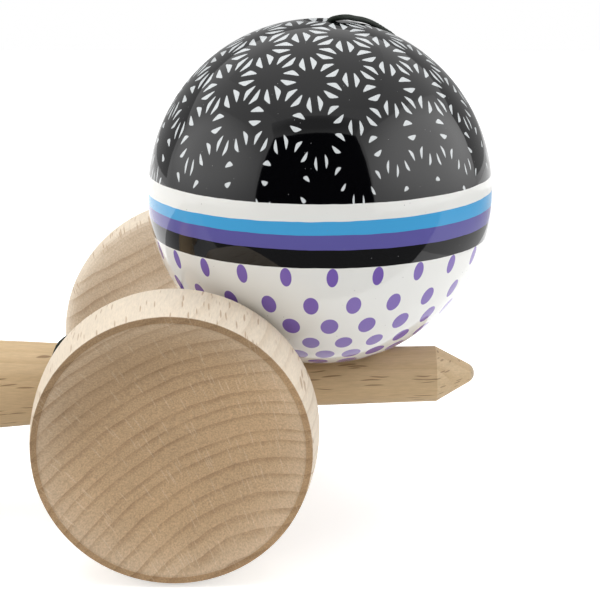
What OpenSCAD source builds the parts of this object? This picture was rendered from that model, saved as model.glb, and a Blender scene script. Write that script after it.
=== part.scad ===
// Kendama lying on its side: a turned ken, a two-cup sarado across it and a holed ball on a cord.
// The ball stands with its big hole over the spike.
// +X runs along the spike, +Y away from the front cup, +Z is up.

/* [Ball] */
// Diameter of the ball
ball_d = 60; // [54:0.5:66]
// Diameter of the big hole
ball_hole_d = 19; // [16:0.2:22]
// Diameter of the bevel where the big hole meets the surface
ball_bevel_d = 20.8; // [19.5:0.2:24]
// Height of the top of the big hole's straight wall above the centre of the ball
ball_hole_top = 6; // [2:0.5:10]
// Diameter of the string hole
string_hole_d = 4.2; // [3:0.2:6]
// Diameter of the bevel round the string hole
string_bevel_d = 6; // [5:0.2:8]
// How far the ball leans towards the front cup, in degrees
ball_lean_angle = 1; // [0:0.5:3]
// How far the centre of the ball stands behind the axis of the ken
ball_y = 0.8; // [0:0.1:1.5]

/* [Sarado] */
// Widest diameter of the front cup
front_cup_d = 47.4; // [43:0.2:50]
// Diameter of the front cup at its rim
front_rim_d = 45.2; // [40:0.2:47]
// Distance from the ken's axis to the front rim
front_reach = 37.8; // [34:0.2:42]
// Distance from the ken's axis to the widest place of the front cup
front_belly = 25.6; // [24:0.2:30]
// Widest diameter of the back cup
back_cup_d = 50.8; // [47.6:0.2:54]
// Diameter of the back cup at its rim
back_rim_d = 48.8; // [44:0.2:50.6]
// Distance from the ken's axis to the back rim
back_reach = 38.4; // [34:0.2:42]
// Distance from the ken's axis to the widest place of the back cup
back_belly = 29.9; // [26:0.2:32]
// Diameter of the waist between the cups
waist_d = 22.6; // [20:0.2:24]
// Half the length of the straight waist
waist_half = 10.6; // [9:0.2:12]
// Width of the flat lip round each cup's mouth
cup_lip = 1.1; // [0.8:0.1:3]
// Diameter of the ball-shaped hollow of every cup
bowl_d = 61.4; // [58:0.2:66]

/* [Ken] */
// Diameter of the spike where it leaves the sarado
spike_root_d = 10.8; // [9.6:0.1:12]
// Diameter of the spike at its shoulder
spike_end_d = 9.9; // [8:0.1:10.6]
// Distance from the sarado's axis to the spike's shoulder
shoulder_reach = 44.7; // [42:0.2:50]
// Half the angle of the pointed end, in degrees
point_half_angle = 29; // [24:1:36]
// Radius of the blunted tip
tip_round = 1.9; // [1:0.1:2.4]
// Diameter of the grip where it meets the sarado
grip_start_d = 12.7; // [12.2:0.1:14]
// Largest diameter of the grip
grip_d = 20.6; // [18:0.2:24]
// Distance from the sarado's axis to the thickest place of the grip
grip_reach = 84; // [76:0.5:88]
// Diameter of the neck above the base cup
neck_d = 17.6; // [14:0.2:18]
// Distance from the sarado's axis to the neck
neck_reach = 100; // [96:0.5:104]
// Widest diameter of the base cup
base_cup_d = 43; // [40:0.2:46]
// Diameter of the base cup at its rim
base_rim_d = 41.6; // [38:0.2:42.8]
// Distance from the sarado's axis to the widest place of the base cup
base_belly = 113; // [110:0.5:115]
// Distance from the sarado's axis to the base cup's rim
base_reach = 118; // [116:0.5:124]

/* [Cord] */
// Diameter of the cord
string_d = 0.9; // [0.8:0.1:1.5]
// Diameter of the bead
bead_d = 8; // [7:0.2:9]
// Diameter of the hole in the bead
bead_hole_d = 2.2; // [1.8:0.1:3]
// Diameter of the stopper knots
knot_d = 3.4; // [3:0.1:4]
// Length of cord left below the bead's knot
knot_tail = 6; // [3:0.5:9]

/* [Fits] */
// Radial clearance of the ken in the sarado
ken_clearance = 0.08; // [0.03:0.01:0.1]
// Gap kept between pieces that only lean on each other
rest_gap = 0.3; // [0.2:0.05:0.5]

/* [Hidden] */
$fn = 96;
overrun = 1;
curve_steps = 24;
edge_steps = 4;
knot_height_share = 0.9;
rim_round = 0.2;
wood_colour = "burlywood";
ken_colour = "tan";
ball_colour = "midnightblue";
cord_colour = "#1b2118";
bead_colour = "peru";

ball_r = ball_d / 2;
bowl_r = bowl_d / 2;
waist_r = waist_d / 2;
cord_r = string_d / 2;
knot_r = knot_d / 2;
bead_r = bead_d / 2;

// The spike is one straight taper, which runs on through the sarado to the seat of the grip.
spike_taper = (spike_root_d - spike_end_d) / 2 / (shoulder_reach - waist_r);
function spike_r(x) = spike_root_d / 2 - spike_taper * (x - waist_r);
seat_x = -waist_r - rest_gap;
point_x = shoulder_reach + spike_end_d / 2 / tan(point_half_angle);
tip_x = point_x - tip_round / sin(point_half_angle) + tip_round;

// The string hole in the waist opens into a pocket for the knot, which the ken closes.
pocket_r = knot_r + rest_gap + rest_gap;
pocket_floor = spike_r(0) + ken_clearance + rest_gap;
pocket_top = pocket_floor + knot_d + rest_gap;
string_way_r = cord_r + rest_gap;

// Curves of a turned piece: a soft S between two circles, a barrelled wall, a rounded rim
// and a Bezier stretch.
function soft_s(x0, r0, x1, r1) = [for (i = [0:curve_steps]) let (t = i / curve_steps)
    [x0 + (x1 - x0) * t, r0 + (r1 - r0) * (1 - cos(180 * t)) / 2]];
function barrel(x0, r0, x1, r1) = [for (i = [1:curve_steps]) let (t = i / curve_steps)
    [x0 + (x1 - x0) * t, r0 + (r1 - r0) * pow(t, 2)]];
function rim_edge(x, r, way) = [for (i = [0:edge_steps]) let (turn = 90 * i / edge_steps)
    [x - way * rim_round * (1 - sin(turn)), r - rim_round * (1 - cos(turn))]];
function bezier(a, b, c, d) = [for (i = [0:curve_steps]) let (t = i / curve_steps, s = 1 - t)
    pow(s, 3) * a + 3 * pow(s, 2) * t * b + 3 * s * pow(t, 2) * c + pow(t, 3) * d];
function backwards(list) = [for (i = [len(list) - 1:-1:0]) list[i]];

// One side of the sarado, from the waist out to the rim, as pairs of distance and radius.
function cup_side(belly, cup_r, reach, rim_r) = concat(
    soft_s(waist_half, waist_r, belly, cup_r),
    barrel(belly, cup_r, reach - rim_round, rim_r),
    rim_edge(reach, rim_r, 1));
front_side = cup_side(front_belly, front_cup_d / 2, front_reach, front_rim_d / 2);
back_side = cup_side(back_belly, back_cup_d / 2, back_reach, back_rim_d / 2);
sarado_outline = concat(
    [for (p = backwards(front_side)) [-p[0], p[1]]],
    back_side);

// The grip rises from the seat in a long straight flare and swells before the neck of the base cup.
grip_flare_share = 0.42;
grip_swell_share = 0.25;
grip_slope = 0.067;
grip_run = grip_reach + seat_x;
grip_curve = bezier(
    [-seat_x, grip_start_d / 2],
    [-seat_x + grip_run * grip_flare_share, grip_start_d / 2 + grip_run * grip_flare_share * grip_slope],
    [grip_reach - grip_run * grip_swell_share, grip_d / 2],
    [grip_reach, grip_d / 2]);
grip_side = concat(
    grip_curve,
    soft_s(grip_reach, grip_d / 2, neck_reach, neck_d / 2),
    soft_s(neck_reach, neck_d / 2, base_belly, base_cup_d / 2),
    barrel(base_belly, base_cup_d / 2, base_reach - rim_round, base_rim_d / 2),
    rim_edge(base_reach, base_rim_d / 2, 1));
tip_curve = [for (i = [0:curve_steps]) let (turn = (90 - point_half_angle) * i / curve_steps)
    [tip_x - tip_round + tip_round * cos(turn), tip_round * sin(turn)]];
ken_outline = concat(
    [[-base_reach, 0]],
    [for (p = backwards(grip_side)) [-p[0], p[1]]],
    [[seat_x, spike_r(seat_x)], [shoulder_reach, spike_end_d / 2]],
    backwards(tip_curve));

// The ball stands on the spike and leans on the sarado: both set its place.
rim_drop = sqrt(pow(ball_r, 2) - pow(ball_bevel_d / 2, 2));
ball_z = rim_drop + spike_r(waist_r) + rest_gap;
ball_away = max([for (p = sarado_outline) if (abs(p[0] - ball_y) < ball_r)
    p[1] + sqrt(pow(ball_r, 2) - pow(p[0] - ball_y, 2))]) + rest_gap;
ball_x = sqrt(pow(ball_away, 2) - pow(ball_z, 2));

// The toy lies on the bellies of its two sarado cups and its base cup, so its own frame
// is turned a little. It lies with the middle of its wooden pieces over the origin.
side_tilt = atan2(back_cup_d / 2 - front_cup_d / 2, back_belly + front_belly);
axis_height = front_cup_d / 2 * cos(side_tilt) + front_belly * sin(side_tilt);
base_span = sqrt(pow(base_belly, 2) + pow(base_cup_d / 2, 2));
end_tilt = asin(axis_height / base_span) - atan2(base_cup_d / 2, base_belly);
roll = atan2(sin(side_tilt), sqrt(1 - pow(sin(side_tilt), 2) - pow(sin(end_tilt), 2)));
pitch = -end_tilt;
function tilted(p) = let (
        y = p[1] * cos(roll) - p[2] * sin(roll),
        z = p[1] * sin(roll) + p[2] * cos(roll))
    [p[0] * cos(pitch) + z * sin(pitch), y, -p[0] * sin(pitch) + z * cos(pitch)];
low_x = -base_reach * cos(pitch) - base_rim_d / 2 * abs(sin(pitch));
high_x = max(
    tilted([ball_x, ball_y, ball_z])[0] + ball_r,
    tilted([tip_x - tip_round, 0, 0])[0] + tip_round);
low_y = -front_reach * cos(roll) - front_rim_d / 2 * abs(sin(roll));
high_y = back_reach * cos(roll) + back_rim_d / 2 * abs(sin(roll));
toy_at = [-(low_x + high_x) / 2, -(low_y + high_y) / 2, axis_height];
ball_at = toy_at + tilted([ball_x, ball_y, ball_z]);

// The big hole ends in a cone, on which the bead seats.
cone_top = ball_hole_top + (ball_hole_d - string_hole_d) / 2;
bead_z = cone_top + string_hole_d / 2 - (bead_r + rest_gap) * sqrt(2);
bead_end = sqrt(pow(bead_r, 2) - pow(bead_hole_d / 2, 2));
knot_z = bead_z - bead_end - rest_gap - knot_r;

// The cord's own path: from the bead's knot up out of the ball, over its back, down behind the back cup,
// in a loose bend on the floor, up over the grip and into the waist.
route = [
    [56.2, -0.7, 64.5], [56.3, -1.1, 83], [57, -1.8, 86.9], [57.9, -2.5, 89.5], [59.6, -2.7, 89.7],
    [60.9, -1.4, 89.6], [62.1, 0.9, 89.3], [63.5, 3.6, 88.7], [65.2, 7.1, 87.5], [67.3, 8.7, 86.3],
    [69.4, 10.8, 84.6], [70.4, 16, 81.5], [65.9, 23.5, 77],
    [59.9, 28.5, 70], [51.9, 32.5, 60], [45.4, 37.5, 49], [43.4, 41, 41], [42.9, 43, 27],
    [43.4, 45.5, 10], [46.4, 50, 1.6], [49.9, 57, 0.7], [45.9, 64.5, 0.7], [34.9, 67.5, 0.7],
    [20.9, 66.5, 0.7], [13.4, 62, 0.7], [15.9, 56, 0.7], [25.9, 54.5, 0.7], [33.9, 53.5, 0.7],
    [34.4, 48.5, 0.7], [26.9, 46, 0.7], [16.9, 42.5, 0.7], [12.4, 32, 0.7], [12.4, 16, 0.7],
    [12.9, 2, 0.7], [11.9, -6, 3], [10.1, -9, 12], [9.3, -8.6, 23], [9.7, -6.2, 30.5],
    [12.9, -3, 33.6], [24.9, -0.8, 37.3], [29.4, -0.7, 39], [31.7, -0.7, 37.6], [32.1, -0.6, 33.8]];
route_last = len(route) - 1;
span_rings = 2;
cord_sides = 8;

// A smooth line through the route, and a frame that is carried along it without twisting.
function unit(v) = v / norm(v);
function route_at(i) = i < 0 ? 2 * route[0] - route[1]
    : i > route_last ? 2 * route[route_last] - route[route_last - 1] : route[i];
function spot(i, t) = let (
        a = route_at(i - 1), b = route_at(i), c = route_at(i + 1), d = route_at(i + 2),
        bend = 2 * a - 5 * b + 4 * c - d,
        twist = 3 * b - a - 3 * c + d)
    (2 * b + (c - a) * t + bend * pow(t, 2) + twist * pow(t, 3)) / 2;
cord_line = [
    for (i = [0:route_last - 1], k = [0:span_rings - 1]) spot(i, k / span_rings),
    route[route_last]];
cord_last = len(cord_line) - 1;
cord_ways = [for (i = [0:cord_last])
    unit(cord_line[min(i + 1, cord_last)] - cord_line[max(i - 1, 0)])];
function square_to(v, way) = unit(v - (v * way) * way);
cord_outs = [for (i = 0, out = square_to([1, 0, 0], cord_ways[0]); i <= cord_last;
    i = i + 1, out = i <= cord_last ? square_to(out, cord_ways[i]) : out) out];

module turned(outline) {
    rotate_extrude() polygon([for (p = outline) [p[1], p[0]]]);
}

module lay_down() {
    translate(toy_at) rotate([roll, pitch, 0]) children();
}

module in_ball() {
    translate(ball_at) rotate([ball_lean_angle, 0, 0]) children();
}

// A bowl's ball stands off its rim so that the mouth keeps the lip's width.
module bowl(reach, rim_r) {
    translate([0, 0, reach + sqrt(pow(bowl_r, 2) - pow(rim_r - cup_lip, 2))]) sphere(r = bowl_r);
}

module knot() {
    intersection() {
        sphere(r = knot_r);
        cylinder(r = knot_r, h = knot_d * knot_height_share, center = true);
    }
}

module ken() {
    color(ken_colour) lay_down() difference() {
        rotate([0, 90, 0]) turned(ken_outline);
        rotate([0, -90, 0]) bowl(base_reach, base_rim_d / 2);
    }
}

module sarado() {
    bore_half = waist_r + overrun;
    color(wood_colour) lay_down() difference() {
        rotate([-90, 0, 0]) turned(concat([[-front_reach, 0]], sarado_outline, [[back_reach, 0]]));
        rotate([90, 0, 0]) bowl(front_reach, front_rim_d / 2);
        rotate([-90, 0, 0]) bowl(back_reach, back_rim_d / 2);
        translate([-bore_half, 0, 0]) rotate([0, 90, 0])
            cylinder(r1 = spike_r(-bore_half) + ken_clearance, r2 = spike_r(bore_half) + ken_clearance,
                h = 2 * bore_half);
        cylinder(r = pocket_r, h = pocket_top);
        cylinder(r = string_way_r, h = waist_r + overrun);
    }
}

module tama() {
    bevel_h = (ball_bevel_d - ball_hole_d) / 2;
    string_bevel_h = (string_bevel_d - string_hole_d) / 2;
    string_rim = sqrt(pow(ball_r, 2) - pow(string_bevel_d / 2, 2));
    color(ball_colour) in_ball() difference() {
        sphere(r = ball_r);
        translate([0, 0, -ball_r]) cylinder(d = ball_hole_d, h = ball_r + ball_hole_top);
        translate([0, 0, -rim_drop - overrun])
            cylinder(d1 = ball_bevel_d + 2 * overrun, d2 = ball_hole_d, h = bevel_h + overrun);
        translate([0, 0, ball_hole_top])
            cylinder(d1 = ball_hole_d, d2 = string_hole_d, h = cone_top - ball_hole_top);
        cylinder(d = string_hole_d, h = ball_r);
        translate([0, 0, string_rim - string_bevel_h])
            cylinder(d1 = string_hole_d, d2 = string_bevel_d + 2 * overrun,
                h = string_bevel_h + overrun);
    }
}

module bead() {
    color(bead_colour) in_ball() translate([0, 0, bead_z]) difference() {
        sphere(r = bead_r);
        cylinder(d = bead_hole_d, h = bead_d + overrun, center = true);
    }
}

module bead_knot() {
    color(cord_colour) in_ball() translate([0, 0, knot_z]) {
        knot();
        translate([0, 0, -knot_tail - knot_r]) cylinder(r = cord_r, h = knot_tail + knot_r);
    }
}

module sarado_knot() {
    color(cord_colour) lay_down() translate([0, 0, pocket_floor + knot_r]) knot();
}

module string() {
    points = [for (i = [0:cord_last], k = [0:cord_sides - 1])
        let (turn = 360 * k / cord_sides, out = cord_outs[i])
        cord_line[i] + cord_r * (cos(turn) * out + sin(turn) * cross(cord_ways[i], out))];
    walls = [for (i = [0:cord_last - 1], k = [0:cord_sides - 1])
        let (a = i * cord_sides + k, b = i * cord_sides + (k + 1) % cord_sides)
        each [[a, a + cord_sides, b], [b, a + cord_sides, b + cord_sides]]];
    ends = [for (k = [1:cord_sides - 2], top = [0, cord_last * cord_sides])
        top == 0 ? [0, k, k + 1] : [top, top + k + 1, top + k]];
    color(cord_colour) polyhedron(points, concat(walls, ends));
}

// Length of the cord between its knots
echo(cord_length = [for (i = 0, run = 0; i < cord_last;
    i = i + 1, run = run + norm(cord_line[i] - cord_line[i - 1])) run][cord_last - 1]);

ken();
sarado();
tama();
bead();
string();
sarado_knot();
bead_knot();
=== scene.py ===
"""Kendama: beech ken and sarado, lacquered ball and braided cord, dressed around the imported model."""
import logging
import math
from dataclasses import dataclass, field
from enum import Enum
from typing import Optional, Sequence, Union

import bmesh
import bpy
from mathutils import Euler, Matrix, Vector


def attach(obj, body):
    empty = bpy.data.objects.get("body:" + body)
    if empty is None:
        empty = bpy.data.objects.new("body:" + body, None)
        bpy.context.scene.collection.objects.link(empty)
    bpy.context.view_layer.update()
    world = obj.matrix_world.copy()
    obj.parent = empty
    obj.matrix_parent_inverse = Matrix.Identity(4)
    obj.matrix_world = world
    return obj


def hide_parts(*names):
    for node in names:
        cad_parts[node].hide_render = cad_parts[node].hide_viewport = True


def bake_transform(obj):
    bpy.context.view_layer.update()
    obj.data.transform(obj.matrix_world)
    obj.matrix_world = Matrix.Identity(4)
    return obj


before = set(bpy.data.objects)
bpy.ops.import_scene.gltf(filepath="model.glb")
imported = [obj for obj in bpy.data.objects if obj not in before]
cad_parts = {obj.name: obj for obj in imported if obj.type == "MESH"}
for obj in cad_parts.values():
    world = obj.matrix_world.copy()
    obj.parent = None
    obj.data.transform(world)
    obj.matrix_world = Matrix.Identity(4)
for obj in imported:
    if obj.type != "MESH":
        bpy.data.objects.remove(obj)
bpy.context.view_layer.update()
LOG = logging.getLogger("kendama")

Triple = tuple[float, float, float]
Ramp = tuple[float, float, float, float]
Socket = bpy.types.NodeSocket
Value = Union[float, Triple, Socket]
MM = 0.001
DEGREES = 180 / math.pi
WHITE: Triple = (1.0, 1.0, 1.0)
RELIEF = "relief"
WELD = 1e-6
COARSE = 0.6
CURVE_STEPS = 24
NO_RIM = 999.0


@dataclass(frozen=True)
class Stance:
    """How the toy lies: its own frame, with X along the spike and Y through the cups, in the world."""

    at: Triple = (0.032314, -0.000327, 0.024473)
    roll: float = math.radians(1.755)
    pitch: float = math.radians(-1.511)

    def turn(self) -> Matrix:
        """Returns the rotation from the toy's frame to the world."""
        return Matrix.Rotation(self.pitch, 3, "Y") @ Matrix.Rotation(self.roll, 3, "X")

    def matrix(self) -> Matrix:
        """Returns the toy's frame as a placed matrix."""
        return Matrix.Translation(self.at) @ self.turn().to_4x4()

    def place(self, point: Sequence[float]) -> Vector:
        """Returns a point of the toy's frame in the world."""
        return Vector(self.at) + self.turn() @ Vector(point)


@dataclass(frozen=True)
class BallStance:
    """Where the ball stands, how it leans and how large it is."""

    at: Triple = (0.056194, -0.000564, 0.058713)
    lean: float = math.radians(1.0)
    radius: float = 0.030

    def turn(self) -> Matrix:
        """Returns the rotation from the ball's frame to the world."""
        return Matrix.Rotation(self.lean, 3, "X")

    def matrix(self) -> Matrix:
        """Returns the ball's frame as a placed matrix."""
        return Matrix.Translation(self.at) @ self.turn().to_4x4()


STANCE = Stance()
BALL = BallStance()


class Blend(Enum):
    """How two colours are mixed."""

    MIX = "MIX"
    MULTIPLY = "MULTIPLY"


class Sketch:
    """Adds shader nodes to one new material, or to a new world, and links them."""

    def __init__(self, name: str, world: bool = False) -> None:
        """Starts an empty material or world.

        Args:
            name: Its name.
            world: Whether it is a world.
        """
        self.block = bpy.data.worlds.new(name) if world else bpy.data.materials.new(name)
        self.block.use_nodes = True
        self.tree = self.block.node_tree
        self.tree.nodes.clear()

    def add(self, kind: str, **settings: object) -> bpy.types.Node:
        """Adds one node.

        Args:
            kind: The node's type name, without its ShaderNode prefix.
            settings: Properties to set on it.

        Returns:
            The new node.
        """
        node = self.tree.nodes.new("ShaderNode" + kind)
        for name, value in settings.items():
            setattr(node, name, value)
        return node

    def feed(self, socket: Socket, value: Value) -> None:
        """Links a socket to the socket given as value, or sets a plain value on it.

        Args:
            socket: The socket to feed.
            value: Another socket, a number or three numbers.
        """
        if isinstance(value, Socket):
            self.tree.links.new(value, socket)
        elif isinstance(value, (tuple, list)) and len(value) == 3 and socket.type == "RGBA":
            socket.default_value = (*value, 1.0)
        else:
            socket.default_value = value

    def math(self, operation: str, first: Value, second: Value = 0.0, third: Value = 0.0) -> Socket:
        """Adds one Math node.

        Args:
            operation: What it works out.
            first: Its first value.
            second: Its second value, if it takes one.
            third: Its third value, if it takes one.

        Returns:
            The result.
        """
        node = self.add("Math", operation=operation)
        for socket, value in zip(node.inputs, (first, second, third)):
            self.feed(socket, value)
        return node.outputs[0]

    def vector(self, operation: str, first: Value, second: Value = (0.0, 0.0, 0.0)) -> Socket:
        """Adds one Vector Math node.

        Args:
            operation: What it works out.
            first: Its first vector.
            second: Its second vector, or the number to scale by.

        Returns:
            The resulting vector, or the number for a length or a dot product.
        """
        node = self.add("VectorMath", operation=operation)
        self.feed(node.inputs[0], first)
        self.feed(node.inputs["Scale"] if operation == "SCALE" else node.inputs[1], second)
        return node.outputs["Value" if operation in ("LENGTH", "DOT_PRODUCT") else "Vector"]

    def split(self, vector: Socket) -> tuple[Socket, Socket, Socket]:
        """Splits a vector.

        Args:
            vector: The vector.

        Returns:
            Its three numbers.
        """
        node = self.add("SeparateXYZ")
        self.feed(node.inputs[0], vector)
        return node.outputs[0], node.outputs[1], node.outputs[2]

    def join(self, x: Value, y: Value, z: Value) -> Socket:
        """Joins three numbers.

        Args:
            x: First number.
            y: Second number.
            z: Third number.

        Returns:
            Their vector.
        """
        node = self.add("CombineXYZ")
        for socket, value in zip(node.inputs, (x, y, z)):
            self.feed(socket, value)
        return node.outputs[0]

    def grey(self, level: Socket) -> Socket:
        """Returns the colour with one level in all three channels."""
        return self.join(level, level, level)

    def local(self, turn: Matrix, at: Sequence[float], unit: float) -> Socket:
        """Gives Object coordinates in a turned and moved frame.

        Args:
            turn: Rotation from that frame to the world.
            at: The frame's origin in the world, in metres.
            unit: Length in metres that counts as 1.

        Returns:
            The coordinates.
        """
        back = turn.transposed()
        node = self.add("Mapping", vector_type="POINT")
        self.feed(node.inputs["Vector"], self.add("TexCoord").outputs["Object"])
        node.inputs["Rotation"].default_value = back.to_euler()
        node.inputs["Location"].default_value = -(back @ Vector(at)) / unit
        node.inputs["Scale"].default_value = (1 / unit,) * 3
        return node.outputs[0]

    def ramp(self, kind: str, items: Sequence[Value]) -> Socket:
        """Adds one Map Range node.

        Args:
            kind: Its interpolation.
            items: The value, the range's low and high ends, and what it gives at each.

        Returns:
            The mapped value.
        """
        node = self.add("MapRange", interpolation_type=kind, clamp=True)
        for socket, item in zip(node.inputs, items):
            self.feed(socket, item)
        return node.outputs[0]

    def step(self, value: Value, low: Value, high: Value, start: Value = 0.0, end: Value = 1.0) -> Socket:
        """Returns a smooth step of a value, from start at low to end at high."""
        return self.ramp("SMOOTHSTEP", (value, low, high, start, end))

    def slope(self, value: Value, low: float, high: float, start: float, end: float) -> Socket:
        """Returns a straight ramp of a value, held at its ends."""
        return self.ramp("LINEAR", (value, low, high, start, end))

    def noise(self, vector: Value, scale: float, detail: float = 2.0, roughness: float = 0.5) -> Socket:
        """Adds a noise texture.

        Args:
            vector: Where it is read.
            scale: Its scale.
            detail: Its octaves.
            roughness: How strong the finer octaves are.

        Returns:
            The noise's factor.
        """
        node = self.add("TexNoise", noise_dimensions="3D")
        self.feed(node.inputs["Vector"], vector)
        node.inputs["Scale"].default_value = scale
        node.inputs["Detail"].default_value = detail
        node.inputs["Roughness"].default_value = roughness
        return node.outputs[0]

    def cells(self, vector: Value, scale: float = 1.0) -> tuple[Socket, Socket]:
        """Adds a texture of random cells.

        Args:
            vector: Where it is read.
            scale: Its scale.

        Returns:
            The distance to the nearest cell's centre, and one random number of that cell.
        """
        node = self.add("TexVoronoi", voronoi_dimensions="3D", feature="F1")
        self.feed(node.inputs["Vector"], vector)
        node.inputs["Scale"].default_value = scale
        return node.outputs["Distance"], self.split(node.outputs["Color"])[0]

    def mix(self, share: Value, first: Value, second: Value, blend: Blend = Blend.MIX) -> Socket:
        """Mixes two colours.

        Args:
            share: Share of the second colour.
            first: The first colour.
            second: The second colour.
            blend: How they are mixed.

        Returns:
            The mixed colour.
        """
        node = self.add("Mix", data_type="RGBA", blend_type=blend.value, clamp_factor=True)
        for place, value in ((0, share), (6, first), (7, second)):
            self.feed(node.inputs[place], value)
        return node.outputs[2]

    def bump(self, height: Value, distance: float, strength: float) -> Socket:
        """Bumps the normal.

        Args:
            height: The relief, 0 to 1.
            distance: The height of a full relief, in metres.
            strength: How much of it shows.

        Returns:
            The bumped normal.
        """
        node = self.add("Bump")
        node.inputs["Strength"].default_value = strength
        node.inputs["Distance"].default_value = distance
        self.feed(node.inputs["Height"], height)
        return node.outputs[0]

    def seen(self) -> Socket:
        """Returns 1 for what is seen, straight, in gloss or through glass, and 0 for what only lights."""
        path = self.add("LightPath").outputs
        straight = self.math("MAXIMUM", path["Is Camera Ray"], path["Is Glossy Ray"])
        return self.math("MAXIMUM", straight, path["Is Transmission Ray"])

    def end(self, kind: str, shader: bpy.types.Node) -> None:
        """Links a shader to the output, whose type name is given without its prefix."""
        self.tree.links.new(shader.outputs[0], self.add(kind).inputs["Surface"])

    def surface(self, colour: Value, roughness: Value, normal: Optional[Socket] = None,
                specular: float = 0.5) -> bpy.types.Node:
        """Ends the material in a Principled shader.

        Args:
            colour: Base colour.
            roughness: Roughness of the surface.
            normal: Bumped normal, if any.
            specular: Level of the plain gloss.

        Returns:
            The shader's node.
        """
        shader = self.add("BsdfPrincipled")
        self.feed(shader.inputs["Base Color"], colour)
        self.feed(shader.inputs["Roughness"], roughness)
        shader.inputs["Specular IOR Level"].default_value = specular
        if normal is not None:
            self.feed(shader.inputs["Normal"], normal)
        self.end("OutputMaterial", shader)
        return shader


@dataclass(frozen=True)
class Grain:
    """Where a point lies in its wood, in millimetres: U and V across the fibres from the pith, W along."""

    u: Socket
    v: Socket
    w: Socket
    radius: Socket
    arc: Socket

    def stretched(self, k: Sketch, across: float, along_fibre: float) -> Socket:
        """Scales the place.

        Args:
            k: The material's sketch.
            across: Scale across the fibres.
            along_fibre: Scale along them.

        Returns:
            The scaled place.
        """
        return k.join(k.math("MULTIPLY", self.u, across), k.math("MULTIPLY", self.v, across),
                      k.math("MULTIPLY", self.w, along_fibre))


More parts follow.
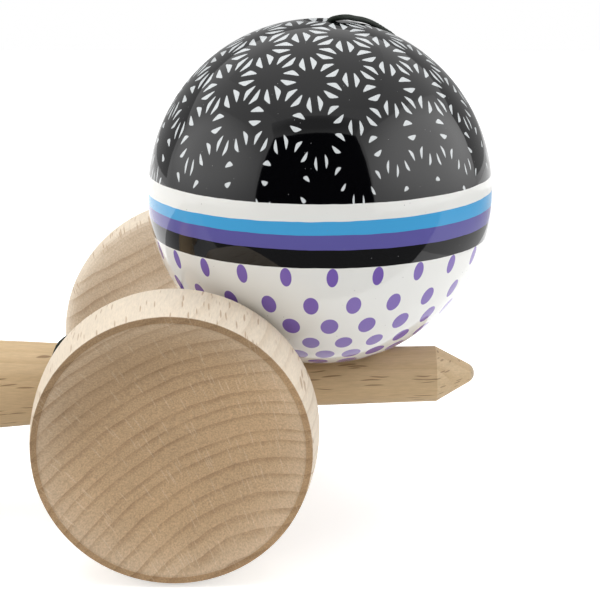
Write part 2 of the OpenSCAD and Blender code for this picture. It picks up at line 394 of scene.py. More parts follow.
@dataclass(frozen=True)
class BeechFinish:
    """Bare sanded beech: growth rings about a pith, ray flecks and fine fibre, as one solid of wood.

    The grain frame has W along the fibres. Rays are thin ribbons that run out from the pith, so
    they show as dark dashes on the sides and as thin pale lines on the end grain. Lengths of the
    grain are in millimetres. A ramp has its low and high ends and what it gives at each.
    """

    name: str
    fibre: Triple
    across: Triple
    pith: tuple[float, float]
    side: Triple
    side_dark: Triple
    end: Triple
    end_dark: Triple
    fleck: Triple
    ray: Triple
    rims: tuple[float, float]
    lip: Triple = (0.79, 0.74, 0.68)
    lip_edge: tuple[float, float] = (0.35, 0.1)
    ring_gap: float = 2.5
    ring_drift: float = 1.6
    drift_scale: float = 0.21
    ring_wave: float = 0.6
    wave_scale: float = 0.11
    wave_stretch: float = 0.12
    ring_rise: tuple[float, float] = (0.5, 0.98)
    ring_fall: tuple[float, float] = (1.0, 0.97)
    ring_fading: Ramp = (0.3, 0.7, 0.35, 1.0)
    fading_scale: float = 0.16
    ring_strength: float = 0.85
    ring_end: float = 0.7
    ring_flat: Ramp = (0.99, 0.75, 0.12, 1.0)
    ring_side: Ramp = (0.0, 0.3, 0.5, 1.0)
    outer: tuple[float, float] = (88.0, 102.0)
    outer_tone: float = 0.74
    fleck_cell: Triple = (6.0, 0.42, 6.5)
    fleck_share: float = 0.7
    fleck_size: float = 0.3
    fleck_core: float = 0.6
    fleck_strength: float = 0.65
    fleck_facing: tuple[float, float] = (0.4, 0.1)
    ray_strength: float = 0.4
    ray_facing: tuple[float, float] = (0.45, 0.7)
    sway: float = 0.4
    sway_scale: tuple[float, float] = (0.3, 0.22)
    end_facing: tuple[float, float] = (0.36, 0.92)
    fibre_scale: tuple[float, float] = (3.2, 0.16)
    fibre_tone: Ramp = (0.25, 0.75, -0.07, 0.05)
    cloud_scale: float = 0.09
    cloud_stretch: float = 0.3
    cloud_tone: Ramp = (0.3, 0.7, 0.95, 1.03)
    pore_scale: tuple[float, float] = (3.6, 0.5)
    pore_tone: Ramp = (0.3, 0.7, -0.20, 0.18)
    pore_side: float = 0.3
    fibre_height: float = 0.7
    fleck_height: float = -0.5
    pore_height: float = 0.4
    relief: float = 0.00004
    relief_strength: float = 0.5
    roughness: Ramp = (0.3, 0.7, 0.52, 0.64)
    gloss: float = 0.3

    def grain_turn(self) -> Matrix:
        """Returns the rotation from the grain frame to the world."""
        w = Vector(self.fibre)
        u = Vector(self.across)
        return STANCE.turn() @ Matrix((u, w.cross(u), w)).transposed()

    def grain(self, k: Sketch) -> Grain:
        """Finds each point's place in the wood.

        Args:
            k: The material's sketch.

        Returns:
            The place.
        """
        u, v, w = k.split(k.local(self.grain_turn(), STANCE.at, MM))
        u, v = (k.math("SUBTRACT", part, pith) for part, pith in zip((u, v), self.pith))
        arc = k.math("MULTIPLY", k.math("ARCTAN2", v, u), math.hypot(*self.pith))
        return Grain(u, v, w, k.vector("LENGTH", k.join(u, v, 0.0)), arc)

    def rings(self, k: Sketch, grain: Grain) -> Socket:
        """Draws the growth rings, uneven in width and a little wavy.

        Args:
            k: The material's sketch.
            grain: Each point's place in the wood.

        Returns:
            The rings' strength, 1 in the dark late wood.
        """
        drift = k.noise(k.join(grain.radius, 0.0, 0.0), self.drift_scale, 1.0)
        wave = k.noise(grain.stretched(k, 1.0, self.wave_stretch), self.wave_scale)
        phase = k.math("MULTIPLY", grain.radius, 1 / self.ring_gap)
        phase = k.math("MULTIPLY_ADD", drift, self.ring_drift, phase)
        late = k.math("FRACT", k.math("MULTIPLY_ADD", wave, self.ring_wave, phase))
        ring = k.math("MULTIPLY", k.step(late, *self.ring_rise), k.step(late, *self.ring_fall))
        patches = k.noise(k.join(grain.radius, grain.arc, 0.0), self.fading_scale)
        return k.math("MULTIPLY", ring, k.slope(patches, *self.ring_fading))

    def flecks(self, k: Sketch, grain: Grain) -> Socket:
        """Draws the rays.

        Args:
            k: The material's sketch.
            grain: Each point's place in the wood.

        Returns:
            The rays' mask.
        """
        sway = k.noise(grain.stretched(k, *self.sway_scale), 1.0, 1.0)
        lean = k.math("MULTIPLY_ADD", sway, self.sway, grain.arc)
        place = zip((grain.radius, lean, grain.w), self.fleck_cell)
        far, chance = k.cells(k.join(*(k.math("DIVIDE", part, size) for part, size in place)))
        mask = k.step(far, self.fleck_size, self.fleck_size * self.fleck_core)
        return k.math("MULTIPLY", mask, k.math("LESS_THAN", chance, self.fleck_share))

    def lips(self, k: Sketch, grain: Grain) -> Socket:
        """Finds the flat lips round the hollows.

        Args:
            k: The material's sketch.
            grain: Each point's place in the wood.

        Returns:
            The lips' mask.
        """
        (low, high), (near, full) = self.rims, self.lip_edge
        low_lip = k.step(grain.w, low + near, low + full)
        high_lip = k.step(grain.w, high - near, high - full)
        return k.math("MAXIMUM", low_lip, high_lip)

    def dress(self) -> bpy.types.Material:
        """Returns the wood's material."""
        k = Sketch(self.name)
        grain = self.grain(k)
        ring = self.rings(k, grain)
        fleck = self.flecks(k, grain)
        # Streaks of fibre on the sides, and fine pores on the end grain.
        fibre = k.noise(grain.stretched(k, *self.fibre_scale), 1.0, 3.0, COARSE)
        pores = k.noise(grain.stretched(k, *self.pore_scale), 1.0, 2.0, COARSE)
        # How far the surface shows end grain.
        normal = k.add("TexCoord").outputs["Normal"]
        facing = [k.vector("DOT_PRODUCT", normal, tuple(axis)) for axis in self.grain_turn().col]
        ended = k.step(k.math("ABSOLUTE", facing[2]), *self.end_facing)
        # Where a ring lies flat in the surface its line spreads and fades.
        outward = k.math("MULTIPLY_ADD", facing[0], grain.u, k.math("MULTIPLY", facing[1], grain.v))
        flat = k.math("ABSOLUTE", k.math("DIVIDE", outward, grain.radius))
        clear = k.math("MULTIPLY", ring, k.step(flat, *self.ring_flat))
        clear = k.math("MULTIPLY", clear, k.step(ended, *self.ring_side))
        side = k.mix(k.math("MULTIPLY", clear, self.ring_strength), self.side, self.side_dark)
        dash = k.math("MULTIPLY", fleck, k.step(ended, *self.fleck_facing))
        side = k.mix(k.math("MULTIPLY", dash, self.fleck_strength), side, self.fleck)
        end = k.mix(k.math("MULTIPLY", ring, self.ring_end), self.end, self.end_dark)
        shine = k.math("MULTIPLY", fleck, k.step(ended, *self.ray_facing))
        end = k.mix(k.math("MULTIPLY", shine, self.ray_strength), end, self.ray)
        # End grain darker far from the pith, which falls over the upper part of the front bowl.
        outer = k.step(grain.radius, *self.outer, 1.0, self.outer_tone)
        end = k.mix(1.0, end, k.grey(outer), Blend.MULTIPLY)
        end = k.mix(self.lips(k, grain), end, k.mix(1.0, end, self.lip, Blend.MULTIPLY))
        # Cloudy tone over the whole, with fibres and pores in it.
        cloud = k.noise(grain.stretched(k, 1.0, self.cloud_stretch), self.cloud_scale)
        tone = k.math("ADD", k.slope(fibre, *self.fibre_tone), k.slope(cloud, *self.cloud_tone))
        depth = k.slope(ended, 0.0, 1.0, self.pore_side, 1.0)
        tone = k.math("MULTIPLY_ADD", k.slope(pores, *self.pore_tone), depth, tone)
        colour = k.mix(1.0, k.mix(ended, side, end), k.grey(tone), Blend.MULTIPLY)
        height = k.math("MULTIPLY", fleck, self.fleck_height)
        height = k.math("MULTIPLY_ADD", fibre, self.fibre_height, height)
        height = k.math("MULTIPLY_ADD", pores, self.pore_height, height)
        k.surface(colour, k.slope(fibre, *self.roughness), k.bump(height, self.relief, self.relief_strength),
                  specular=self.gloss)
        return k.block


@dataclass(frozen=True)
class DotRing:
    """One ring of dots: latitude, half height and half width in degrees, count and longitude of one dot."""

    lat: float
    half_height: float
    half_width: float
    count: int
    lon: float


@dataclass(frozen=True)
class LacquerFinish:
    """Gloss lacquer on the ball: hemp-leaf slivers on a black cap, stripes, and rings of dots below.

    Angles are in degrees. A stripe starts at its latitude, tilted a little from left to right. The
    margin round a sliver is a share of its triangle and has a ramp for the top, the foot and the left.
    """

    name: str = "ball_lacquer"
    black: Triple = (0.0016, 0.0016, 0.0022)
    sliver: Triple = (0.64, 0.67, 0.68)
    white: Triple = (0.80, 0.80, 0.77)
    blue: Triple = (0.06, 0.36, 0.68)
    violet: Triple = (0.11, 0.098, 0.34)
    dot: Triple = (0.185, 0.110, 0.43)
    dust: Triple = (0.22, 0.22, 0.22)
    stripes: tuple[float, ...] = (7.5, 2.15, -2.1, -6.8, -12.8)
    tilts: tuple[float, ...] = (0.15, 0.7, 0.1, -0.35, -0.2)
    stripe_edge: float = 0.04
    waver: float = 0.45
    waver_scale: float = 7.0
    lattice_a: tuple[float, float] = (11.996, 9.140)
    lattice_b: tuple[float, float] = (-2.105, 14.621)
    lattice_at: tuple[float, float] = (6.601, -17.746)
    spread: tuple[float, float] = (-0.0487, -0.0145)
    spread_at: float = 60.0
    tip_round: float = 0.075
    sliver_edge: float = 0.004
    margin_high: Ramp = (24.0, 38.0, 0.065, 0.075)
    margin_low: Ramp = (46.0, 78.0, 0.0, 0.029)
    relief_left: Ramp = (-0.7, -0.05, -0.007, 0.0)
    dot_edge: tuple[float, float] = (1.02, 0.97)
    rings: tuple[DotRing, ...] = (
        DotRing(-16.2, 3.3, 1.9, 24, -86.4), DotRing(-27.0, 3.5, 2.7, 24, -78.5),
        DotRing(-36.4, 3.7, 3.5, 24, -86.6), DotRing(-45.8, 3.5, 4.0, 24, -79.4),
        DotRing(-55.0, 3.8, 5.4, 24, -87.4), DotRing(-64.5, 3.9, 7.6, 16, -69.2))
    speck_cells: float = 34.0
    speck_size: tuple[float, float] = (0.10, 0.05)
    speck_share: float = 0.16
    peel_scale: float = 14.0
    peel_height: float = 0.00002
    peel_strength: float = 0.25
    roughness: float = 0.05

    def shares(self, k: Sketch, x: Socket, y: Socket, far: Socket) -> tuple[Socket, Socket, Socket]:
        """Finds each point's place in its triangle of the lattice.

        Args:
            k: The material's sketch.
            x: First part of the surface's direction from the ball's middle.
            y: Second part.
            far: Degrees from the string hole.

        Returns:
            The shares of the triangle's three corners, which add up to 1.
        """
        bend = k.math("POWER", k.math("MULTIPLY", far, 1 / self.spread_at), 2.0)
        widen = k.math("MULTIPLY_ADD", bend, self.spread[1], self.spread[0])
        reach = k.math("MULTIPLY", far, k.math("MULTIPLY_ADD", bend, widen, 1.0))
        spot = k.vector("SCALE", k.vector("NORMALIZE", k.join(x, y, 0.0)), reach)
        spot = k.vector("SUBTRACT", spot, (*self.lattice_at, 0.0))
        (ax, ay), (bx, by) = self.lattice_a, self.lattice_b
        area = ax * by - bx * ay
        first = k.math("FRACT", k.vector("DOT_PRODUCT", spot, (by / area, -bx / area, 0.0)))
        second = k.math("FRACT", k.vector("DOT_PRODUCT", spot, (-ay / area, ax / area, 0.0)))
        over = k.math("GREATER_THAN", k.math("ADD", first, second), 1.0)
        flip = k.math("MULTIPLY_ADD", over, -2.0, 1.0)
        first, second = (k.math("MULTIPLY_ADD", part, flip, over) for part in (first, second))
        return first, second, k.math("SUBTRACT", k.math("SUBTRACT", 1.0, first), second)

    def slivers(self, k: Sketch, x: Socket, y: Socket, far: Socket) -> Socket:
        """Draws the hemp-leaf slivers.

        The stars stand on a lattice of equal triangles. Each triangle is split from its middle into
        three, and each third, drawn in by a margin, is one sliver.

        Args:
            k: The material's sketch.
            x: First part of the surface's direction from the ball's middle.
            y: Second part.
            far: Degrees from the string hole.

        Returns:
            The mask, 1 inside a sliver.
        """
        first, second, third = self.shares(k, x, y, far)
        least = k.math("MINIMUM", k.math("MINIMUM", first, second), third)
        most = k.math("MAXIMUM", k.math("MAXIMUM", first, second), third)
        middle = k.math("SUBTRACT", k.math("SUBTRACT", 1.0, least), most)
        inside = k.math("MULTIPLY", least, math.sqrt(0.75))
        for other in (middle, most):
            side = k.math("MULTIPLY", k.math("SUBTRACT", other, least), 0.5)
            inside = k.math("SMOOTH_MIN", inside, side, self.tip_round)
        margin = k.math("ADD", k.slope(far, *self.margin_high), k.slope(far, *self.margin_low))
        margin = k.math("ADD", margin, k.slope(x, *self.relief_left))
        return k.step(k.math("SUBTRACT", inside, margin), -self.sliver_edge, self.sliver_edge)

    def dots(self, k: Sketch, lat: Socket, lon: Socket) -> Socket:
        """Draws the rings of dots.

        Args:
            k: The material's sketch.
            lat: Latitude on the ball.
            lon: Longitude on the ball.

        Returns:
            The mask, 1 inside a dot.
        """
        mask: Value = 0.0
        for ring in self.rings:
            gap = 360 / ring.count
            turned = k.math("ADD", lon, 720 + gap / 2 - ring.lon)
            side = k.math("SUBTRACT", k.math("MODULO", turned, gap), gap / 2)
            rise = k.math("SUBTRACT", lat, ring.lat)
            away = k.vector("LENGTH", k.join(k.math("DIVIDE", side, ring.half_width),
                                             k.math("DIVIDE", rise, ring.half_height), 0.0))
            mask = k.math("MAXIMUM", mask, k.step(away, *self.dot_edge))
        return mask

    def dress(self) -> bpy.types.Material:
        """Returns the painted surface's material."""
        k = Sketch(self.name)
        spot = k.vector("NORMALIZE", k.local(BALL.turn(), BALL.at, BALL.radius))
        x, y, z = k.split(spot)
        far = k.math("MULTIPLY", k.math("ARCCOSINE", z), DEGREES)
        lat = k.math("SUBTRACT", 90.0, far)
        lon = k.math("MULTIPLY", k.math("ARCTAN2", y, x), DEGREES)
        foot = k.mix(self.dots(k, lat, lon), self.white, self.dot)
        colour = k.mix(self.slivers(k, x, y, far), self.black, self.sliver)
        hand = k.math("SUBTRACT", k.noise(spot, self.waver_scale), 0.5)
        band = k.math("MULTIPLY_ADD", hand, self.waver, lat)
        paints = (self.white, self.blue, self.violet, self.black, foot)
        for edge, tilt, paint in zip(self.stripes, self.tilts, paints):
            above = k.math("MULTIPLY_ADD", x, -tilt, band)
            below = k.step(above, edge + self.stripe_edge, edge - self.stripe_edge)
            colour = k.mix(below, colour, paint)
        far_off, chance = k.cells(spot, self.speck_cells)
        chosen = k.math("LESS_THAN", chance, self.speck_share)
        speck = k.math("MULTIPLY", k.step(far_off, *self.speck_size), chosen)
        peel = k.bump(k.noise(spot, self.peel_scale, 1.0), self.peel_height, self.peel_strength)
        k.surface(k.mix(speck, colour, self.dust), self.roughness, peel)
        return k.block


@dataclass(frozen=True)
class PlainWoodFinish:
    """Small wooden surfaces: the bead and the inside of the ball."""

    name: str
    light: Triple
    dark: Triple
    roughness: float
    streak_scale: Triple = (1.6, 1.6, 0.18)
    lathe_scale: float = 3.0
    lathe_share: float = 0.25
    tone: Ramp = (0.4, 0.85, 0.0, 1.0)
    relief: float = 0.00005
    relief_strength: float = 0.4
    gloss: float = 0.35

    def dress(self) -> bpy.types.Material:
        """Returns the material."""
        k = Sketch(self.name)
        place = k.split(k.local(BALL.turn(), BALL.at, MM))
        stretched = [k.math("MULTIPLY", part, scale) for part, scale in zip(place, self.streak_scale)]
        streak = k.noise(k.join(*stretched), 1.0, 3.0, COARSE)
        lathe = k.noise(k.join(0.0, 0.0, place[2]), self.lathe_scale, 1.0)
        tone = k.math("MULTIPLY_ADD", lathe, self.lathe_share, streak)
        colour = k.mix(k.slope(tone, *self.tone), self.light, self.dark)
        relief = k.bump(tone, self.relief, self.relief_strength)
        k.surface(colour, self.roughness, relief, specular=self.gloss)
        return k.block


@dataclass(frozen=True)
class CordFinish:
    """Braided cord: the relief of its strands is kept in the mesh's own attribute, and the colour follows it
    as painted shade in the valleys and painted highlight on the crests.
    """

    name: str = "cord"
    painted_valley_shade: Triple = (0.0015, 0.0025, 0.0018)
    painted_crest_highlight: Triple = (0.0085, 0.016, 0.009)
    fuzz_scale: float = 9000.0
    fuzz_share: float = 0.5
    fuzz_height: float = 0.00002
    fuzz_strength: float = 0.5
    roughness: float = 0.62
    gloss: float = 0.35

    def dress(self) -> bpy.types.Material:
        """Returns the material."""
        k = Sketch(self.name)
        relief = k.add("Attribute", attribute_name=RELIEF).outputs["Fac"]
        fuzz = k.noise(k.add("TexCoord").outputs["Object"], self.fuzz_scale)
        level = k.math("SUBTRACT", relief, self.fuzz_share / 2)
        # Painted shade darkens the valleys between strands and painted highlight lightens their crests, with
        # fuzz mixed in.
        colour = k.mix(k.math("MULTIPLY_ADD", fuzz, self.fuzz_share, level), self.painted_valley_shade, self.painted_crest_highlight)
        fluff = k.bump(fuzz, self.fuzz_height, self.fuzz_strength)
        k.surface(colour, self.roughness, fluff, specular=self.gloss)
        return k.block


class Workbench:
    """Small steps of modelling by hand that several pieces share."""

    @staticmethod
    def clear() -> None:
        """Leaves edit mode and deselects everything."""
        if bpy.context.object and bpy.context.object.mode != "OBJECT":
            bpy.ops.object.mode_set(mode="OBJECT")
        bpy.ops.object.select_all(action="DESELECT")

    @staticmethod
    def turn_on_lathe(name: str, profile: Sequence[tuple[float, float]], steps: int,
                      place: Matrix) -> bpy.types.Object:
        """Turns a closed profile about the local Z axis.

        Args:
            name: The piece's name.
            profile: Pairs of radius and height, in metres, in order along the profile.
            steps: Steps of the full turn.
            place: Where the turned piece goes.

        Returns:
            The new object, with its place in its mesh.
        """
        Workbench.clear()
        bpy.ops.mesh.primitive_plane_add(size=MM, location=(0, 0, 0))
        piece = bpy.context.object
        piece.name = piece.data.name = name
        bpy.ops.object.mode_set(mode="EDIT")
        bpy.ops.mesh.select_all(action="SELECT")
        bpy.ops.mesh.delete(type="VERT")
        shape = bmesh.from_edit_mesh(piece.data)
        line = [shape.verts.new((radius, 0.0, height)) for radius, height in profile]
        for start, end in zip(line, line[1:]):
            shape.edges.new((start, end))
        bmesh.update_edit_mesh(piece.data)
        bpy.ops.mesh.select_all(action="SELECT")
        bpy.ops.mesh.spin(steps=steps, angle=2 * math.pi, center=(0, 0, 0), axis=(0, 0, 1))
        bpy.ops.mesh.select_all(action="SELECT")
        bpy.ops.mesh.remove_doubles(threshold=WELD)
        bpy.ops.mesh.normals_make_consistent(inside=False)
        bpy.ops.object.mode_set(mode="OBJECT")
        piece.data.transform(place)
        piece.data.update()
        return piece

    @staticmethod
    def smooth(piece: bpy.types.Object, angle: float) -> None:
        """Shades a piece smooth, with sharp edges past an angle.

        Args:
            piece: The piece.
            angle: The angle between two faces.
        """
        Workbench.clear()
        piece.select_set(True)
        bpy.context.view_layer.objects.active = piece
        bpy.ops.object.shade_smooth_by_angle(angle=angle)
        piece.select_set(False)

    @staticmethod
    def finish_with(piece: bpy.types.Object, *materials: bpy.types.Material) -> None:
        """Puts materials in a piece's slots, in place of any it has.

        Args:
            piece: The piece.
            materials: The slots' materials, in order.
        """
        piece.data.materials.clear()
        for material in materials:
            piece.data.materials.append(material)


class BallZone(Enum):
    """The material slots of the ball."""

    PAINT = 0
    BORE = 1


@dataclass
class Ball:
    """The lacquered ball with its big hole, the seat of the bead and the string hole."""

    radius: float = BALL.radius
    hole_r: float = 0.0095
    bevel_r: float = 0.0104
    hole_top: float = 0.006
    string_r: float = 0.0021
    string_bevel_r: float = 0.003
    arc_steps: int = 150
    turn_steps: int = 224
    edge_round: float = 0.00035
    edge_share: float = 0.3
    sharp: float = math.radians(28)
    paint_top_share: float = 0.96
    paint_foot_share: float = 0.993

    def profile(self) -> list[tuple[float, float]]:
        """Returns the turned profile, from the seat of the bead round the outside and back."""
        low = -math.sqrt(self.radius ** 2 - self.bevel_r ** 2)
        high = math.sqrt(self.radius ** 2 - self.string_bevel_r ** 2)
        cone_top = self.hole_top + self.hole_r - self.string_r
        start = math.atan2(low, self.bevel_r)
        end = math.atan2(high, self.string_bevel_r)
        angles = (start + (end - start) * i / self.arc_steps for i in range(self.arc_steps + 1))
        arc = [(self.radius * math.cos(a), self.radius * math.sin(a)) for a in angles]
        foot_edge = low + self.bevel_r - self.hole_r
        head_edge = high - self.string_bevel_r + self.string_r
        ease = self.edge_round
        return [(self.string_r, cone_top), (self.hole_r, self.hole_top), (self.hole_r, foot_edge + ease),
                (self.hole_r + self.edge_share * ease, foot_edge),
                *arc,
                (self.string_r + self.edge_share * ease, head_edge), (self.string_r, head_edge - ease),
                (self.string_r, cone_top)]

    def painted(self, spot: Vector) -> bool:
        """Returns whether a place, seen from the ball's middle, has paint; the upper bevel has it too."""
        return spot.length > self.radius * (self.paint_top_share if spot.z > 0 else self.paint_foot_share)

    def build(self) -> bpy.types.Object:
        """Returns the ball's mesh, standing over the spike."""
        return Workbench.turn_on_lathe("ball", self.profile(), self.turn_steps, BALL.matrix())

    def dress(self, piece: bpy.types.Object, paint: bpy.types.Material, bare: bpy.types.Material) -> None:
        """Args:
            piece: The ball's object.
            paint: Material of the outside.
            bare: Material of the holes.
        """
        Workbench.finish_with(piece, paint, bare)
        for face in piece.data.polygons:
            zone = BallZone.PAINT if self.painted(face.center - Vector(BALL.at)) else BallZone.BORE
            face.material_index = zone.value
        Workbench.smooth(piece, self.sharp)
        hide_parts("tama")
        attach(piece, "tama")


def along(points: Sequence[Vector], gap: float) -> list[Vector]:
    """Returns points at an even spacing on a smooth line through the given ones.

    Args:
        points: The line's points.
        gap: Spacing, in metres.

    Returns:
        The evenly spaced points, with both ends.
    """
    ends = [2 * points[0] - points[1], *points, 2 * points[-1] - points[-2]]
    fine: list[Vector] = []
    for a, b, c, d in zip(ends, ends[1:], ends[2:], ends[3:]):
        for step in range(CURVE_STEPS):
            t = step / CURVE_STEPS
            fine.append((2 * b + (c - a) * t + (2 * a - 5 * b + 4 * c - d) * t ** 2
                         + (3 * b - a - 3 * c + d) * t ** 3) / 2)
    fine.append(points[-1].copy())
    runs = [0.0]
    for start, end in zip(fine, fine[1:]):
        runs.append(runs[-1] + (end - start).length)
    count = max(2, round(runs[-1] / gap))
    spots, place = [], 0
    for i in range(count + 1):
        want = runs[-1] * i / count
        while place < len(runs) - 2 and runs[place + 1] < want:
            place += 1
        span = runs[place + 1] - runs[place]
        spots.append(fine[place].lerp(fine[place + 1], (want - runs[place]) / span if span else 0.0))
    return spots


@dataclass
class Braid:
    """A braided cord: strands wound both ways that pass over and under each other."""

    diameter: float = 0.00098
    strands: int = 4
    lay: float = 0.0038
    relief: float = 0.13
    dip: float = 0.3
    crown: float = 1.2
    sides: int = 16
    gap: float = 0.00017

    def tube(self, name: str, route: Sequence[Vector]) -> tuple[bpy.types.Object, list[Vector]]:
        """Builds the cord along a route.

        Args:
            name: The piece's name.
            route: Points of its centre line.

        Returns:
            The new object and the points that it follows.
        """
        line = along(route, self.gap)
        shape = bmesh.new()
        layer = shape.verts.layers.float.new(RELIEF)
        out = Vector((1, 0, 0))
        rings = []
        for i, spot in enumerate(line):
            way = (line[min(i + 1, len(line) - 1)] - line[max(i - 1, 0)]).normalized()
            out = (out - way * out.dot(way)).normalized()
            side = way.cross(out)
            ring = []
            for k in range(self.sides):
                turn = 2 * math.pi * k / self.sides
                lift = self.strand_height(turn, i * self.gap)
                reach = self.diameter / 2 * (1 - self.relief + self.relief * lift)
                vert = shape.verts.new(spot + reach * (math.cos(turn) * out + math.sin(turn) * side))
                vert[layer] = lift
                ring.append(vert)
            rings.append(ring)
        for low, high in zip(rings, rings[1:]):
            for k in range(self.sides):
                nxt = (k + 1) % self.sides
                shape.faces.new((low[k], low[nxt], high[nxt], high[k]))
        shape.faces.new(list(reversed(rings[0])))
        shape.faces.new(rings[-1])
        for face in shape.faces:
            face.smooth = True
        mesh = bpy.data.meshes.new(name)
        shape.to_mesh(mesh)
        shape.free()
        piece = bpy.data.objects.new(name, mesh)
        bpy.context.scene.collection.objects.link(piece)
        return piece, line

    def strand_height(self, turn: float, run: float) -> float:
        """Finds how high the upper strand lies.

        Args:
            turn: Angle round the cord.
            run: Distance along the cord, in metres.

        Returns:
            The height, 0 to 1.
        """
        first = self.strands * (turn / (2 * math.pi) + run / self.lay)
        second = self.strands * (turn / (2 * math.pi) - run / self.lay)
        over = math.cos(math.pi * (first + second)) * math.cos(math.pi * (first - second))
        one = abs(math.cos(math.pi * first)) + self.dip * over
        two = abs(math.cos(math.pi * second)) - self.dip * over
        return max(0.0, min(1.0, max(one, two) / self.crown))


@dataclass
class StopperKnot:
    """A tight stopper knot: the cord goes in at the top, winds round itself and comes out below."""

    coil_r: float = 0.00108
    height: float = 0.0023
    turns: float = 3.2
    points: int = 44
    taper: float = 5.0
    neck: float = 0.00135
    entry: float = 0.00155
    tail: float = 0.0
    tail_start: float = 0.0017
    tail_points: int = 6
    tail_sway: float = 0.00012
    tail_pace: float = 2.2
    tail_drift: float = 0.0001

    def route(self) -> list[Vector]:
        """Returns the points of the knot about its own middle, from the top to the end of the tail."""
        points = [Vector((0, 0, self.entry)), Vector((0, 0, self.neck))]
        for i in range(self.points + 1):
            share = i / self.points
            swell = min(1.0, self.taper * share, self.taper * (1 - share))
            angle = 2 * math.pi * self.turns * share
            reach = self.coil_r * math.sin(swell * math.pi / 2)
            drop = self.height * (0.5 - share)
            points.append(Vector((reach * math.cos(angle), reach * math.sin(angle), drop)))
        points.append(Vector((0, 0, -self.neck)))
        if self.tail:
            for i in range(1, self.tail_points + 1):
                points.append(Vector((self.tail_sway * math.sin(self.tail_pace * i), self.tail_drift * i,
                                      -self.tail_start - self.tail * i / self.tail_points)))
        return points

    def build(self, name: str, place: Matrix, braid: Braid) -> bpy.types.Object:
        """Builds the knot.

        Args:
            name: The piece's name.
            place: Where it goes.
            braid: The cord it is tied in.

        Returns:
            The new object, with its place in its mesh.
        """
        piece, _ = braid.tube(name, self.route())
        piece.data.transform(place)
        piece.data.update()
        return piece


@dataclass
class Cord:
    """The cord between the bead and the sarado, with its stopper knots; its route is in millimetres."""

    length: float = 0.360
    braid: Braid = field(default_factory=Braid)
    knot_z: float = 0.00357
    knot_tail: float = 0.0058
    pocket_z: float = 0.00763
    exit: Triple = (0.056194, -0.001085, 0.088806)
    route: tuple[Triple, ...] = (
        (56.2, -0.7, 64.5), (56.3, -1.1, 83), (57, -1.8, 86.7), (57.8, -2.7, 88.55), (59.3, -3.1, 89.1),
        (60.8, -2.1, 89.1), (62.1, -0.6, 88.75), (63.5, 1.4, 88.35), (65.2, 4.6, 87.5), (67.3, 7.4, 86.1),
        (69.3, 9.6, 84.45), (70.4, 16, 81.3), (65.9, 23.5, 77),
        (59.9, 28.5, 70), (51.9, 32.5, 60), (45.4, 37.5, 49), (43.4, 41, 41), (42.9, 43, 27),
        (43.4, 45.5, 10), (46.4, 50, 1.3), (49.9, 57, 0.66), (45.9, 64.5, 0.66), (34.9, 67.5, 0.66),
        (20.9, 66.5, 0.66), (13.4, 62, 0.66), (15.9, 56, 0.66), (25.9, 54.5, 0.66), (33.9, 53.5, 0.66),
        (34.4, 48.5, 0.66), (26.9, 46, 0.66), (16.9, 42.5, 0.66), (12.4, 32, 0.66), (12.4, 16, 0.66),
        (12.9, 2, 0.66), (11.9, -6, 3), (10.1, -9, 12), (9.3, -8.6, 23), (9.7, -6.2, 30.5),
        (12.9, -3, 33.6), (24.9, -0.8, 37.3), (29.4, -0.7, 39), (31.7, -0.7, 37.6), (32.1, -0.6, 33.8))
    lift_start: Triple = (0.0439, 0.042, 0.0222)
    lift_end: Triple = (0.0439, 0.0506, 0.0438)

    def build(self, material: bpy.types.Material) -> list[bpy.types.Object]:
        """Args:
            material: The cord's material.

        Returns:
            The new pieces.
        """
        string, path = self.braid.tube("string_braid", [Vector(p) * MM for p in self.route])
        inner = StopperKnot(tail=self.knot_tail).build(
            "bead_stopper", BALL.matrix() @ Matrix.Translation((0, 0, self.knot_z)), self.braid)
        outer = StopperKnot().build(
            "sarado_stopper", STANCE.matrix() @ Matrix.Translation((0, 0, self.pocket_z)), self.braid)
        for piece in (string, inner, outer):
            Workbench.finish_with(piece, material)
        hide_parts("string")
        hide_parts("bead_knot")
        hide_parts("sarado_knot")
        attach(inner, "bead")
        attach(outer, "sarado")
        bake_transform(string)
        return [string, inner, outer]


@dataclass(frozen=True)
class Viewpoint:
    """The photograph's camera, given in the toy's own frame."""

    place: Triple = (0.023703, -0.307341, 0.099697)
    azimuth: float = math.radians(-0.544)
    elevation: float = math.radians(15.533)
    roll: float = math.radians(-1.536)
    lens: float = 108.0
    sensor: float = 36.0
    nearest: float = 0.01

    def build(self) -> None:
        """Adds the camera and makes it the scene's."""
        az, el, roll = self.azimuth, self.elevation, self.roll
        ahead = Vector((math.sin(az) * math.cos(el), math.cos(az) * math.cos(el), -math.sin(el)))
        right = Vector((math.cos(az), -math.sin(az), 0.0))
        up = right.cross(ahead)
        across = math.cos(roll) * right + math.sin(roll) * up
        upright = -math.sin(roll) * right + math.cos(roll) * up
        turn = STANCE.turn() @ Matrix((across, upright, -ahead)).transposed()
        data = bpy.data.cameras.new("camera")
        data.sensor_width = self.sensor
        data.lens = self.lens
        data.clip_start = self.nearest
        camera = bpy.data.objects.new("camera", data)
        camera.matrix_world = Matrix.Translation(STANCE.place(self.place)) @ turn.to_4x4()
        bpy.context.scene.collection.objects.link(camera)
        bpy.context.scene.camera = camera


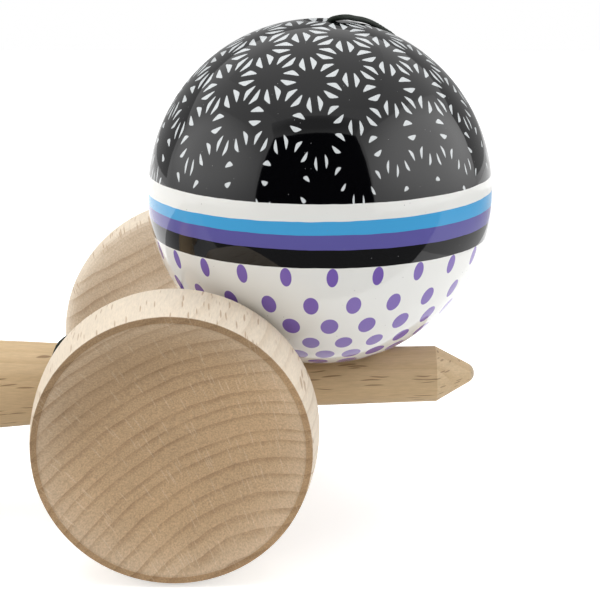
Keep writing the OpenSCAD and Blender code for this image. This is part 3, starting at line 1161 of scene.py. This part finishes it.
@dataclass(frozen=True)
class Panel:
    """One soft light panel, with the level at which gloss shows it and how far that fades at its edges."""

    name: str
    at: Triple
    aim: Triple
    width: float
    height: float
    radiance: float
    shine: float
    fade: float

    def turn(self) -> Euler:
        """Returns the panel's rotation, facing what it aims at."""
        return (Vector(self.aim) - Vector(self.at)).to_track_quat("-Z", "Y").to_euler()

    def corners(self) -> list[Triple]:
        """Returns the panel's corners in order."""
        place = Matrix.Translation(self.at) @ self.turn().to_matrix().to_4x4()
        return [tuple(place @ Vector((x * self.width / 2, y * self.height / 2, 0.0)))
                for x, y in ((-1, -1), (1, -1), (1, 1), (-1, 1))]

    def build(self) -> None:
        """Adds the panel as an area lamp."""
        data = bpy.data.lights.new(self.name, "AREA")
        data.shape = "RECTANGLE"
        data.size, data.size_y = self.width, self.height
        data.energy = self.radiance * math.pi * self.width * self.height
        lamp = bpy.data.objects.new(self.name, data)
        lamp.location = self.at
        lamp.rotation_euler = self.turn()
        lamp.visible_glossy = False
        bpy.context.scene.collection.objects.link(lamp)


@dataclass(frozen=True)
class Edge:
    """A level edge of a card, from left to right."""

    left: float
    right: float
    y: float
    z: float

    def ends(self) -> list[Triple]:
        """Returns the edge's two ends, from the left."""
        return [(self.left, self.y, self.z), (self.right, self.y, self.z)]


@dataclass(frozen=True)
class Card:
    """A card that gloss shows, between two level edges."""

    name: str
    level: float
    foot: Edge
    head: Edge
    fade: float = 0.0

    def corners(self) -> list[Triple]:
        """Returns the card's corners in order."""
        return [*self.foot.ends(), *reversed(self.head.ends())]


GAP_FOOT = Edge(-0.50, 0.47, -0.6, 0.0)
GAP_HEAD = Edge(-0.42, 0.40, -0.6, 0.72)


@dataclass
class Studio:
    """The white floor, the white tent round it, its soft panels and the dark gap for the camera."""

    ambient: float = 0.40
    floor: Triple = (0.87, 0.87, 0.87)
    floor_size: float = 1.6
    floor_lift: float = 0.50
    floor_roughness: float = 0.9
    panels: tuple[Panel, ...] = (
        Panel("top_panel", (0.0, 0.1, 0.9), (0.02, 0.0, 0.0), 1.1, 1.1, 1.8, 1.12, 0.2),
        Panel("left_panel", (-0.70, -0.05, 0.36), (0.24, 0.29, 0.3), 1.17, 0.7, 1.35, 1.85, 0.5),
        Panel("right_panel", (0.71, -0.01, 0.36), (-0.22, 0.356, 0.3), 1.31, 0.7, 0.93, 2.4, 0.5))
    cards: tuple[Card, ...] = (
        Card("camera_gap", 0.0, GAP_FOOT, GAP_HEAD),
        Card("brow", 0.36, GAP_HEAD, Edge(-0.45, 0.45, -0.47, 0.86), -0.9),
        Card("backdrop", 0.4, Edge(-2.5, 2.5, 1.6, 0.0), Edge(-2.5, 2.5, 1.6, 1.1)),
        # Painted shade: a dark sheet on the floor in front, seen only in gloss, standing in for the shaded
        # floor.
        Card("painted_floor_shade", 0.2, Edge(-0.9, 0.9, -0.6, MM), Edge(-0.9, 0.9, -0.05, MM)),
        Card("cup_shade", 0.3, Edge(-0.6, 0.04, -0.05, MM), Edge(-0.6, 0.04, 0.09, MM), -1.2),
        Card("far_shade", 0.48, Edge(0.17, 0.9, -0.05, MM), Edge(0.17, 0.9, 0.35, MM), -1.0))
    fade_from: float = 0.2
    fade_to: float = 0.68

    def build(self) -> None:
        """Adds the floor, the cards, the panels and the world."""
        bpy.context.scene.view_settings.view_transform = "Standard"
        Workbench.clear()
        bpy.ops.mesh.primitive_plane_add(size=self.floor_size, location=(0, 0, 0))
        floor = bpy.context.object
        floor.name = "floor"
        Workbench.finish_with(floor, self.paper())
        for card in self.cards:
            self.show_in_gloss(card.name, card.level, card.corners(), card.fade)
        for panel in self.panels:
            panel.build()
            self.show_in_gloss(panel.name + "_shine", panel.shine, panel.corners(), panel.fade)
        self.build_world()

    def paper(self) -> bpy.types.Material:
        """Returns the floor's white paper, which lifts to white where no shadow falls."""
        k = Sketch("floor_paper")
        shader = k.surface(self.floor, self.floor_roughness, specular=0.0)
        k.feed(shader.inputs["Emission Color"], WHITE)
        k.feed(shader.inputs["Emission Strength"], k.math("MULTIPLY", k.seen(), self.floor_lift))
        return k.block

    def show_in_gloss(self, name: str, level: float, corners: Sequence[Triple], fade: float) -> None:
        """Adds one card that shows at a plain level in reflections and nowhere else.

        Args:
            name: The card's name.
            level: Its brightness.
            corners: Its four corners in order.
            fade: Share of the brightness lost towards its edges, or gained when below nothing.
        """
        Workbench.clear()
        bpy.ops.mesh.primitive_plane_add(size=1.0, location=(0, 0, 0))
        card = bpy.context.object
        card.name = name
        for vert, corner in zip((card.data.vertices[i] for i in (0, 1, 3, 2)), corners):
            vert.co = corner
        k = Sketch(name)
        glow = k.add("Emission")
        if fade:
            off = k.vector("LENGTH", k.vector("SUBTRACT", k.add("UVMap").outputs[0], (0.5, 0.5, 0.0)))
            strength = k.step(off, self.fade_from, self.fade_to, level, level * (1 - fade))
            k.feed(glow.inputs["Strength"], strength)
        else:
            glow.inputs["Strength"].default_value = level
        k.end("OutputMaterial", glow)
        Workbench.finish_with(card, k.block)
        card.visible_camera = card.visible_diffuse = card.visible_shadow = card.visible_transmission = False

    def build_world(self) -> None:
        """Makes the world white to the eye and in gloss, and a plain soft light to the object."""
        k = Sketch("tent", world=True)
        light = k.add("Background")
        k.feed(light.inputs["Color"], WHITE)
        k.feed(light.inputs["Strength"], k.slope(k.seen(), 0.0, 1.0, self.ambient, 1.0))
        k.end("OutputWorld", light)
        bpy.context.scene.world = k.block


CUP_BEECH = BeechFinish(
    name="cup_beech", fibre=(0.0, 1.0, 0.0), across=(1.0, 0.0, 0.0), pith=(37.9, 76.9),
    side=(0.76, 0.655, 0.52), side_dark=(0.50, 0.36, 0.23),
    end=(0.565, 0.39, 0.225), end_dark=(0.34, 0.21, 0.107),
    fleck=(0.40, 0.25, 0.14), ray=(0.72, 0.57, 0.40), rims=(-37.8, 38.4))
KEN_BEECH = BeechFinish(
    name="ken_beech", fibre=(1.0, 0.0, 0.0), across=(0.0, 1.0, 0.0), pith=(62.0, 24.0),
    side=(0.64, 0.467, 0.27), side_dark=(0.50, 0.335, 0.17),
    end=(0.50, 0.41, 0.295), end_dark=(0.40, 0.29, 0.19),
    fleck=(0.17, 0.078, 0.028), ray=(0.66, 0.54, 0.40), rims=(-118.0, NO_RIM),
    fleck_cell=(1.5, 0.42, 7.5), fleck_share=0.6, sway=0.7)
BEAD_WOOD = PlainWoodFinish("bead_wood", (0.44, 0.28, 0.14), (0.27, 0.15, 0.07), 0.35)
BORE_WOOD = PlainWoodFinish("bore_wood", (0.60, 0.46, 0.31), (0.44, 0.31, 0.18), 0.6)


def main() -> None:
    """Builds the scene's pieces in order and reports each."""
    logging.basicConfig(level=logging.INFO, format="%(name)s: %(message)s")
    Viewpoint().build()
    Studio().build()
    for piece in Cord().build(CordFinish().dress()):
        LOG.info("cord piece %s", piece.name)
    ball = Ball()
    shell = ball.build()
    ball.dress(shell, LacquerFinish().dress(), BORE_WOOD.dress())
    LOG.info("ball with %d faces", len(shell.data.polygons))
    for node, finish in (("sarado", CUP_BEECH), ("ken", KEN_BEECH), ("bead", BEAD_WOOD)):
        Workbench.finish_with(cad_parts[node], finish.dress())
        LOG.info("dressed %s", node)


if __name__ == "__main__":
    main()
